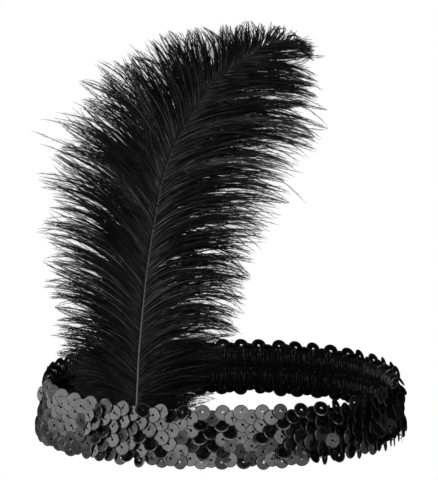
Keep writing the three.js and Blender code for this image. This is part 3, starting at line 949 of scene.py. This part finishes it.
def makePatch(look):
    # a squarish disc: rings from the middle of its near face to the rim and back to the
    # middle of its far face, lifted over the quill by a raised cosine
    reach = np.sin(np.linspace(0, math.pi / 2, look["rings"]))[1:]
    reach = np.concatenate([reach, reach[:-1][::-1]])
    side = np.concatenate([np.ones(look["rings"] - 1), -np.ones(look["rings"] - 2)])
    turn = 2 * math.pi * np.arange(look["sides"]) / look["sides"]
    c, s = np.cos(turn), np.sin(turn)
    square = (np.abs(c) ** look["corner"] + np.abs(s) ** look["corner"]) ** (-1 / look["corner"])
    x = reach[:, None] * (c * square)[None, :] * look["width"] / 2
    y = reach[:, None] * (s * square)[None, :] * look["height"] / 2
    x = np.concatenate([[[0.0] * look["sides"]], x, [[0.0] * look["sides"]]])
    y = np.concatenate([[[0.0] * look["sides"]], y, [[0.0] * look["sides"]]])
    puff = np.concatenate([[1.0], side * np.sqrt(np.clip(1 - reach ** 6, 0, 1)), [-1.0]])
    near = -elastic["thickness"] - elastic["ribRelief"] - look["gap"]
    over = shaft["footOut"] - shaft["radius"] - look["gap"] - near
    swell = 0.5 + 0.5 * np.cos(math.pi * np.clip(x / look["swellReach"], -1, 1))
    out = near + over * swell + look["thickness"] * (puff[:, None] - 1) / 2
    middle = shaft["footHeight"] - look["footMargin"] + look["height"] / 2
    points = onWall(featherShare + x / loopLength, middle + y, out)
    faces = gridFaces(len(x), look["sides"], roundColumns=True)
    kept = faces[look["sides"]:-look["sides"]]
    ring = np.arange(look["sides"])
    after = (ring + 1) % look["sides"]
    last = (len(x) - 1) * look["sides"]
    first = np.stack([np.zeros_like(ring), look["sides"] + after, look["sides"] + ring], -1)
    final = np.stack([np.full_like(ring, last), last - look["sides"] + ring,
                      last - look["sides"] + after], -1)
    used = np.concatenate([[0], np.arange(look["sides"], last), [last]])
    number = np.zeros(last + look["sides"], int)
    number[used] = np.arange(len(used))
    felt = addPiece("quill_felt", points.reshape(-1, 3)[used],
                    [number[kept][:, ::-1], number[first][:, ::-1], number[final][:, ::-1]],
                    blackFelt, ["quill_pad"])


makePatch(patch)

# ---- plume

plume = {
    "length": 59.0,  # of the longest barb
    "steps": 14,
    "layers": 4,  # sets of barbs, one over the other, each with tufts of its own
    "perTuft": 4,
    "tuftPull": (0.6, 1.0),  # how far a tuft's barbs draw together at their tips
    "pullPower": 3.2,  # of the share along the barb; the tufts close later for more
    "stray": 0.08,  # the share of barbs that stand alone
    "strayLength": (0.88, 1.03),
    "lengthSpread": 0.06,  # of single barbs, and of tufts, as shares of their length
    "tuftLengthSpread": 0.07,
    "longest": 0.2,  # how much longer than the table says a barb may grow
    "leaveSpread": 3.5,  # degrees
    "tipSpread": 12.0,
    "strayTip": 1.8,  # how much more a stray barb's tip is turned by it, and another's less
    "heldTip": 0.6,
    "tuftSpread": 5.5,
    "waver": 11.0,
    "waves": (0.6, 1.4),  # along a barb
    "rootOut": 0.42,  # where a barb leaves the shaft, as shares of the shaft's radius
    "rootFront": 0.9,
    "depthSpread": 15.0,  # how far tufts part in depth at their tips
    "tuftDepth": 0.75,  # the tufts' part in that, and the single barbs'
    "barbDepth": 0.45,
    "backing": 1.5,  # how far a barb passes behind its root, as a share of the shaft's radius
    "depthShift": 0.0,  # how far the longest barb's tip is swept back
    "ribbon": 0.40,  # half the width of a barb with its closed barbules, at the shaft
    "ribbonFade": (0.3, 0.95),  # the shares of a barb over which they open
    "paleShare": 0.8,  # of the front set's barbs: narrow, over the others, grey with painted sheen
    "paleRibbon": 0.13,
    "paleLift": 0.35,
    "stem": 0.15,  # half the width of the bare barb, which thins towards its tip
    "thickness": 0.10,
    "tipThin": 0.7,
    "fullLength": 25.0,  # shorter barbs have narrower ribbons, down to slimmest
    "slimmest": 0.15,
    "twist": (0.32, 0.2),  # the mean and the spread of a ribbon's turn about its barb
    "barbulesPerMm": 2.5,
    "barbuleLength": 4.3,
    "barbuleRadius": 0.055,
    "barbulesFrom": 0.2,  # the share of a barb below which its barbules stay closed
    "barbulesTo": 0.96,
    "barbuleAngle": (12, 40),
    "barbuleTilt": 32,  # degrees out of the barb's plane
    "barbuleLengths": (0.55, 1.25),
    "barbuleSwell": (0.7, 0.5),  # their length at a barb's ends, and how much more half way
    "barbuleFade": 0.8,  # how much shorter they get towards its tip
    "barbuleFull": 20.0,  # shorter barbs have shorter barbules, down to barbuleLeast
    "barbuleLeast": 0.35,
    "seed": 21,
}

# Two more sets lie under the plume's barbs, without barbules: short broad ones, and longer
# grey ones behind, grey with painted sheen and partly their lighter backs; share is their
# number as a share of the others
under = [
    {"share": 0.4, "length": 0.5, "pale": 0.0, "mapReach": 0.9,
     "facts": {"ribbon": 0.7, "ribbonFade": (0.4, 1.1), "tuftPull": (0.0, 0.3),
               "leaveSpread": 1.5, "depthSpread": 2.0, "depthShift": 0.0}},
    {"share": 0.34, "length": 0.84, "pale": 1.0, "mapReach": 0.25,
     "facts": {"paleRibbon": 0.34, "tuftPull": (0.0, 0.5), "depthSpread": 6.0,
               "depthShift": 10.0, "paleLift": 0.0}},
]

# The barbs of each side along the shaft above the band: at, length as a share of the
# longest, the angles in degrees from the shaft at which a barb leaves it and ends, and how
# close together the barbs grow
leftBarbs = np.array([
    (0.0, 0.5, 45, 84, 1.0), (0.11, 0.67, 40, 98, 1.0), (0.26, 0.77, 36, 86, 1.0),
    (0.4, 0.86, 35, 82, 1.1), (0.5, 0.78, 34, 76, 1.4), (0.55, 0.72, 36, 72, 1.4),
    (0.6, 0.65, 36, 68, 1.4), (0.65, 0.56, 34, 66, 1.2), (0.7, 0.46, 34, 66, 1.1),
    (0.75, 0.37, 32, 67, 1.0), (0.8, 0.28, 32, 66, 1.0), (0.85, 0.2, 32, 58, 0.9),
    (0.9, 0.14, 32, 48, 0.7), (0.95, 0.09, 40, 60, 0.5), (1.0, 0.06, 40, 56, 0.4),
])
rightBarbs = np.array([
    (0.0, 0.5, 52, 78, 1.0), (0.11, 0.67, 38, 112, 1.0), (0.26, 0.74, 38, 106, 1.0),
    (0.43, 0.87, 38, 100, 1.0), (0.52, 0.9, 38, 98, 1.0), (0.59, 0.9, 36, 86, 1.0),
    (0.67, 0.82, 34, 74, 0.9), (0.78, 0.6, 34, 57, 0.75), (0.84, 0.46, 32, 46, 0.7),
    (0.9, 0.3, 24, 29, 0.5), (0.95, 0.15, 8, 4, 0.35), (1.0, 0.08, 4, -4, 0.3),
])


def shaftAt(share):
    # the shaft's place, its three axes and its radius at shares of its length
    columns = np.concatenate([shaftLine, shaftAhead, shaftBack, shaftLeft,
                              shaftRadii[:, None]], -1)
    read = np.stack([np.interp(share, shaftShares, column) for column in columns.T], -1)
    return read[:, :3], unit(read[:, 3:6]), unit(read[:, 6:9]), unit(read[:, 9:12]), read[:, 12]


def spreadAlong(table, span, count, random):
    # places along the shaft, spaced by the table's last column with a little unevenness
    fine = np.linspace(*span, 400)
    grown = np.cumsum(np.interp(fine, table[:, 0], table[:, -1]))
    even = (np.arange(count) + random.uniform(0, 0.6, count)) / count
    return np.interp(even, (grown - grown[0]) / (grown[-1] - grown[0]), fine)


def growBarbs(look, side, table, at, paleShare, random):
    # each barb walks in even steps, its heading turning from leave to tip with a slow waver;
    # tufts of neighbours then draw towards their common line
    count, steps = len(at), look["steps"]
    length, leave, tip = (np.interp(at, table[:, 0], table[:, k]) for k in (1, 2, 3))
    alone = random.random(count) < look["stray"]
    tuft = np.cumsum(random.random(count) < 1 / look["perTuft"])
    tufts = tuft[-1] + 1
    uneven = random.normal(0, look["lengthSpread"], count)
    uneven += random.normal(0, look["tuftLengthSpread"], tufts)[tuft]
    length = look["length"] * length * (1 + np.minimum(uneven, look["longest"]))
    length *= np.where(alone, random.uniform(*look["strayLength"], count), 1)
    leave = leave + random.normal(0, look["leaveSpread"], count)
    freedom = np.where(alone, look["strayTip"], look["heldTip"])
    tip = tip + random.normal(0, look["tipSpread"], count) * freedom
    tip += look["tuftSpread"] * random.normal(0, 1, tufts)[tuft]
    walk = (np.arange(steps) + 0.5) / steps
    wave = np.sin(2 * math.pi * (walk * random.uniform(*look["waves"], (count, 1))
                                 + random.random((count, 1))))
    heading = leave[:, None] + (tip - leave)[:, None] * walk + look["waver"] * wave * walk
    heading = np.radians(heading)
    place, ahead, back, left, radius = shaftAt(exitShare + (1 - exitShare) * at)
    outward = left * side
    stride = (ahead[:, None] * np.cos(heading)[..., None]
              + outward[:, None] * np.sin(heading)[..., None]) * (length / steps)[:, None, None]
    root = (place + outward * (look["rootOut"] * radius)[:, None]
            - back * (look["rootFront"] * radius)[:, None])
    paths = np.concatenate([root[:, None], root[:, None] + np.cumsum(stride, 1)], 1)
    s = np.linspace(0, 1, steps + 1)
    lay = look["depthSpread"] * (look["tuftDepth"] * random.uniform(-1, 1, tufts)[tuft]
                                 + look["barbDepth"] * random.uniform(-1, 1, count))
    reach = (length / look["length"])[:, None]
    deep = radius[:, None] * look["backing"] * np.sqrt(s)
    deep += (look["depthShift"] + lay[:, None]) * s ** 1.5 * reach
    paths = paths + back[:, None] * deep[..., None]
    total = np.zeros((tufts, steps + 1, 3))
    np.add.at(total, tuft, paths)
    middle = total / np.bincount(tuft, minlength=tufts)[:, None, None].clip(1)
    pull = random.uniform(*look["tuftPull"], tufts)[tuft] * ~alone
    drawn = (pull[:, None] * s ** look["pullPower"])[..., None]
    pale = random.random(count) < paleShare
    lift = (back * (look["paleLift"] * pale)[:, None])[:, None] * (1 - s)[:, None]
    return paths + (middle[tuft] - paths) * drawn - lift, length, back, pale


def barbTubes(look, paths, length, back, pale, mapReach, random):
    # a flat ribbon at the shaft, where the barbules lie closed, narrowing to a bare thread;
    # on its map a barb has one height, above 0.75 if it is grey with painted sheen, and runs as
    # far as mapReach
    s = np.linspace(0, 1, paths.shape[1])
    slim = np.clip(length / look["fullLength"], look["slimmest"], 1)[:, None]
    wide = np.where(pale, look["paleRibbon"], look["ribbon"])[:, None] - look["stem"]
    half = look["stem"] + wide * (1 - smoothStep(s, *look["ribbonFade"])) * slim
    half = half * (1 - look["tipThin"] * s ** 6)
    thick = look["thickness"] * (1 - look["tipThin"] * s) * np.ones_like(half)
    outward = np.cross(paths[:, 3] - paths[:, 0], back)
    twist = random.normal(*look["twist"], len(paths))[:, None]
    way = unit(back + unit(outward) * twist)[:, None]
    points, faces = strands(paths, way, half, thick, 4)
    own = random.random(len(paths))
    own = np.where(pale, 0.75 + 0.23 * own, 0.68 * own)[:, None, None]
    places = np.stack(np.broadcast_arrays(
        0.02 + mapReach * s[None, :, None], own + 0.003 * np.arange(4)), -1)
    return points, faces, places


def barbuleSpikes(look, paths, length, back, random, angle, size):
    # a three-sided spike from a point of the barb, leaning forward and off to one side; on
    # the map it is a small patch at that point, at one height shared by its barb's barbules
    steps = paths.shape[1] - 1
    owner = np.repeat(np.arange(len(paths)), np.round(length * look["barbulesPerMm"]).astype(int))
    at = random.uniform(look["barbulesFrom"], look["barbulesTo"], len(owner))
    i = np.minimum((at * steps).astype(int), steps - 1)
    step = paths[owner, i + 1] - paths[owner, i]
    base = paths[owner, i] + step * (at * steps - i)[:, None]
    ahead = unit(step)
    flat = unit(np.cross(back[owner], ahead))
    off = np.radians(random.normal(0, look["barbuleTilt"], len(owner)))
    side = np.where(random.random(len(owner)) < 0.5, -1, 1)
    sideways = flat * (side * np.cos(off))[:, None] + back[owner] * np.sin(off)[:, None]
    spread = np.radians(random.uniform(*angle, len(owner)))
    way = ahead * np.cos(spread)[:, None] + sideways * np.sin(spread)[:, None]
    ends, more = look["barbuleSwell"]
    reach = (size * random.uniform(*look["barbuleLengths"], len(owner))
             * (ends + more * np.sin(math.pi * at)))
    reach *= 1 - look["barbuleFade"] * at ** 3
    reach *= np.clip(length[owner] / look["barbuleFull"], look["barbuleLeast"], 1)
    turn = 2 * math.pi * np.arange(3) / 3
    other = unit(np.cross(way, flat + 0.01))
    second = np.cross(way, other)
    ring = (other[:, None] * np.cos(turn)[:, None] + second[:, None] * np.sin(turn)[:, None])
    points = np.concatenate([base[:, None] + ring * look["barbuleRadius"],
                             (base + way * reach[:, None])[:, None]], 1)
    starts = (np.arange(len(owner)) * 4)[:, None]
    faces = np.concatenate([starts + np.array(f) for f in ((0, 1, 3), (1, 2, 3), (2, 0, 3),
                                                           (2, 1, 0))])
    own = 0.8 * random.random(len(paths))[owner][:, None]
    places = np.stack([np.broadcast_to(at[:, None] * 0.85 + 0.1, (len(owner), 4))
                       + np.array([0, 0, 0, 0.04]),
                       own * 0.985 + np.array([0, 0.004, 0.008, 0.004])], -1)
    return points, [faces], places


def makePlumePart(name, look, side, table, span, count, seed, replaced=()):
    # one side of the plume over a span of the shaft: the layers of barbs with their
    # barbules, and the two plain sets under them, as one mesh
    random = np.random.default_rng(look["seed"] + seed)
    grown = []
    for layer in range(look["layers"]):
        at = spreadAlong(table, span, count // look["layers"], random)
        paleShare = look["paleShare"] if layer == 0 else 0.0
        grown.append(growBarbs(look, side, table, at, paleShare, random))
    paths, length, back, pale = (np.concatenate(parts) for parts in zip(*grown))
    parts = [barbTubes(look, paths, length, back, pale, 0.9, random),
             barbuleSpikes(look, paths, length, back, random, look["barbuleAngle"],
                           look["barbuleLength"])]
    for layer in under:
        own = dict(look, length=look["length"] * layer["length"], **layer["facts"])
        own["depthShift"] += look["depthShift"]
        at = spreadAlong(table, span, int(count * layer["share"]), random)
        paths, length, back, pale = growBarbs(own, side, table, at, layer["pale"], random)
        parts.append(barbTubes(own, paths, length, back, pale, layer["mapReach"], random))
    points, faces, places = joined(parts)
    addPiece(name, points, faces, dyedBarbs, replaced, places=places)


makePlumePart("plume_left_lower", plume, 1, leftBarbs, (0.0, 0.42), 240, 1, ["feather_plume"])
makePlumePart("plume_left_upper", plume, 1, leftBarbs, (0.42, 1.0), 330, 2)
makePlumePart("plume_right_lower", plume, -1, rightBarbs, (0.0, 0.42), 240, 3)
makePlumePart("plume_right_upper", plume, -1, rightBarbs, (0.42, 1.0), 252, 4)

# Soft short barbs round the quill's mouth, which fill the corner inside the band
fluff = dict(plume, steps=12, stray=0.15, perTuft=3, lengthSpread=0.13, leaveSpread=10.0,
             tipSpread=12.0, tuftSpread=7.0, waver=14.0, depthSpread=14.0, ribbon=0.26,
             paleShare=0.12, tuftPull=(0.3, 0.9), barbulesPerMm=5.6, barbuleLength=3.8,
             barbuleAngle=(25, 60), barbulesFrom=0.03)
leftSwept = dict(fluff, depthShift=44.0)
rightSwept = dict(fluff, depthShift=14.0)
leftFluff = np.array([(-0.03, 0.32, 86, 98, 1.2), (0.0, 0.42, 82, 100, 1.2),
                      (0.06, 0.48, 70, 96, 1.0)])
rightFluff = np.array([(-0.03, 0.38, 79, 86, 1.6), (0.01, 0.44, 75, 85, 1.5),
                       (0.04, 0.46, 66, 84, 1.0), (0.09, 0.56, 58, 82, 1.0)])
makePlumePart("plume_fluff_left", leftSwept, 1, leftFluff, (-0.03, 0.06), 84, 5)
makePlumePart("plume_fluff_right", rightSwept, -1, rightFluff, (-0.03, 0.09), 99, 6)

print("all pieces in place")
